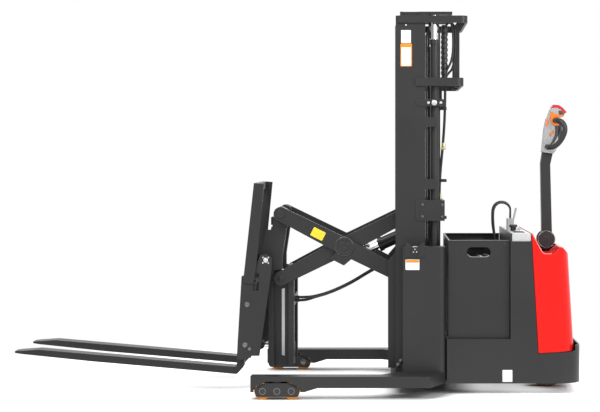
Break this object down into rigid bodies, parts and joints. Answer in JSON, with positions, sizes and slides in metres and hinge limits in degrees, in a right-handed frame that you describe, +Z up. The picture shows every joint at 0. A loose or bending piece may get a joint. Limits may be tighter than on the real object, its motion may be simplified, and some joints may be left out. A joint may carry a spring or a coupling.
{
  "type": "walkie reach stacker",
  "caption": "Pedestrian-controlled electric reach stacker with straddle legs, a two stage mast and a scissor reach that carries tilting forks.",
  "frame": {"origin": "on the floor, under the middle of the machine's box", "axes": "+X from the forks to the tiller, +Y across the machine to its right side, +Z up"},
  "size_m": [2.8782, 1.22, 1.926],
  "materials": {
    "charcoal_paint": "satin",
    "red_paint": "gloss",
    "fork_paint": "satin",
    "bare_steel": "machined",
    "chrome_rod": "polished",
    "chain_steel": "oiled",
    "orange_polyurethane": "satin",
    "brown_polyurethane": "satin",
    "black_rubber": "matte",
    "black_plastic": "matte",
    "grey_plastic": "satin",
    "red_plastic": "gloss",
    "battery_case": "satin"
  },
  "bodies": {
    "chassis": {"leg_left": "charcoal_paint", "leg_right": "charcoal_paint", "chassis_frame": "charcoal_paint", "power_body": "charcoal_paint", "rear_cover": "red_paint", "battery_box": "charcoal_paint", "battery": "battery_case", "battery_cable_near": "black_rubber", "battery_cable_far": "black_rubber", "console": "grey_plastic", "stop_knob": "black_plastic", "battery_plug": "grey_plastic", "mast_columns": "charcoal_paint", "outer_mast": "charcoal_paint", "lift_barrels": "charcoal_paint", "mast_hoses": "black_rubber", "castor_mount": "charcoal_paint"},
    "inner_mast": {"inner_mast": "charcoal_paint", "lift_rods": "chrome_rod", "chain_sheaves": "bare_steel", "chain_rear": "chain_steel", "chain_front": "chain_steel"},
    "mast_carriage": {"mast_carriage": "charcoal_paint", "reach_hoses": "black_rubber"},
    "arm_inner": {"arm_inner": "charcoal_paint"},
    "arm_outer": {"arm_outer": "charcoal_paint"},
    "front_frame": {"front_frame": "charcoal_paint"},
    "reach_barrels": {"reach_barrels": "charcoal_paint"},
    "reach_rods": {"reach_rods": "chrome_rod"},
    "fork_carriage": {"fork_carriage": "charcoal_paint", "fork_left": "fork_paint", "fork_right": "fork_paint", "backrest": "charcoal_paint"},
    "tilt_barrel": {"tilt_barrel": "charcoal_paint"},
    "tilt_rod": {"tilt_rod": "chrome_rod"},
    "steering": {"drive_unit": "charcoal_paint", "tiller_base": "charcoal_paint"},
    "drive_wheel": {"drive_wheel": "brown_polyurethane"},
    "tiller": {"tiller_arm": "charcoal_paint", "tiller_head": "grey_plastic", "tiller_grips": "black_plastic", "belly_button": "red_plastic"},
    "castor_fork": {"castor_fork": "charcoal_paint"},
    "castor_wheel": {"castor_wheel": "black_rubber"},
    "bogie_left": {"bogie_left": "charcoal_paint"},
    "bogie_right": {"bogie_right": "charcoal_paint"},
    "load_wheel_left_front": {"load_wheel_left_front": "orange_polyurethane"},
    "load_wheel_left_rear": {"load_wheel_left_rear": "orange_polyurethane"},
    "load_wheel_right_front": {"load_wheel_right_front": "orange_polyurethane"},
    "load_wheel_right_rear": {"load_wheel_right_rear": "orange_polyurethane"}
  },
  "joints": [
    {"name": "mast_lift", "type": "slide", "parent": "chassis", "child": "inner_mast", "axis": [0, 0, 1], "range_m": [0, 1.36]},
    {"name": "carriage_lift", "type": "slide", "parent": "inner_mast", "child": "mast_carriage", "axis": [0, 0, 1], "range_m": [0, 1.36], "deforming": ["chain_front"]},
    {"name": "reach", "type": "hinge", "parent": "mast_carriage", "child": "arm_inner", "pos_m": [0.572, 0, 0.897], "axis": [0, -1, 0], "range_deg": [0, 45.5], "deforming": ["reach_hoses"]},
    {"name": "arm_centre", "type": "hinge", "parent": "arm_inner", "child": "arm_outer", "pos_m": [0.24589, 0, 0.73084], "axis": [0, -1, 0], "range_deg": [-91, 0]},
    {"name": "front_frame_pivot", "type": "hinge", "parent": "arm_outer", "child": "front_frame", "pos_m": [-0.08022, 0, 0.897], "axis": [0, -1, 0], "range_deg": [0, 45.5]},
    {"name": "reach_barrel_pivot", "type": "hinge", "parent": "mast_carriage", "child": "reach_barrels", "pos_m": [0.573, 0, 0.793], "axis": [0, -1, 0], "range_deg": [0, 56.76]},
    {"name": "reach_rod_slide", "type": "slide", "parent": "reach_barrels", "child": "reach_rods", "axis": [-0.9153, 0, -0.4028], "range_m": [0, 0.1143]},
    {"name": "fork_tilt", "type": "hinge", "parent": "front_frame", "child": "fork_carriage", "pos_m": [-0.152, 0, 0.664], "axis": [0, -1, 0], "range_deg": [0, 6]},
    {"name": "tilt_barrel_pivot", "type": "hinge", "parent": "front_frame", "child": "tilt_barrel", "pos_m": [-0.03822, 0, 0.202], "axis": [0, -1, 0], "range_deg": [0, 1.27]},
    {"name": "tilt_rod_slide", "type": "slide", "parent": "tilt_barrel", "child": "tilt_rod", "axis": [1, 0, 0], "range_m": [0, 0.0486]},
    {"name": "steering", "type": "hinge", "parent": "chassis", "child": "steering", "pos_m": [1.291, -0.1, 0], "axis": [0, 0, 1], "range_deg": [-90, 90]},
    {"name": "drive_wheel_spin", "type": "hinge", "parent": "steering", "child": "drive_wheel", "pos_m": [1.291, -0.1, 0.115], "axis": [0, 1, 0], "continuous": true},
    {"name": "tiller_tilt", "type": "hinge", "parent": "steering", "child": "tiller", "pos_m": [1.291, -0.1, 0.763], "axis": [0, 1, 0], "range_deg": [0, 72], "stiffness_Nm_per_rad": 100, "springref_deg": -57.3},
    {"name": "castor_swivel", "type": "hinge", "parent": "chassis", "child": "castor_fork", "pos_m": [1.258, 0.25, 0], "axis": [0, 0, 1], "continuous": true},
    {"name": "castor_wheel_spin", "type": "hinge", "parent": "castor_fork", "child": "castor_wheel", "pos_m": [1.3, 0.25, 0.075], "axis": [0, 1, 0], "continuous": true},
    {"name": "bogie_left_rock", "type": "hinge", "parent": "chassis", "child": "bogie_left", "pos_m": [-0.074, -0.565, 0.042], "axis": [0, 1, 0], "range_deg": [-3, 3]},
    {"name": "load_wheel_left_front_spin", "type": "hinge", "parent": "bogie_left", "child": "load_wheel_left_front", "pos_m": [-0.1445, -0.565, 0.042], "axis": [0, 1, 0], "continuous": true},
    {"name": "load_wheel_left_rear_spin", "type": "hinge", "parent": "bogie_left", "child": "load_wheel_left_rear", "pos_m": [-0.0035, -0.565, 0.042], "axis": [0, 1, 0], "continuous": true},
    {"name": "bogie_right_rock", "type": "hinge", "parent": "chassis", "child": "bogie_right", "pos_m": [-0.074, 0.565, 0.042], "axis": [0, 1, 0], "range_deg": [-3, 3]},
    {"name": "load_wheel_right_front_spin", "type": "hinge", "parent": "bogie_right", "child": "load_wheel_right_front", "pos_m": [-0.1445, 0.565, 0.042], "axis": [0, 1, 0], "continuous": true},
    {"name": "load_wheel_right_rear_spin", "type": "hinge", "parent": "bogie_right", "child": "load_wheel_right_rear", "pos_m": [-0.0035, 0.565, 0.042], "axis": [0, 1, 0], "continuous": true}
  ],
  "couplings": [
    {"joint": "carriage_lift", "follows": "mast_lift", "ratio": 1},
    {"joint": "arm_centre", "follows": "reach", "ratio": -2},
    {"joint": "front_frame_pivot", "follows": "reach", "ratio": 1},
    {"joint": "reach_barrel_pivot", "follows": "reach", "ratio": 1.2473},
    {"joint": "reach_rod_slide", "follows": "reach", "m_per_rad": 0.14378},
    {"joint": "tilt_barrel_pivot", "follows": "fork_tilt", "ratio": 0.20967},
    {"joint": "tilt_rod_slide", "follows": "fork_tilt", "m_per_rad": 0.46341}
  ]
}
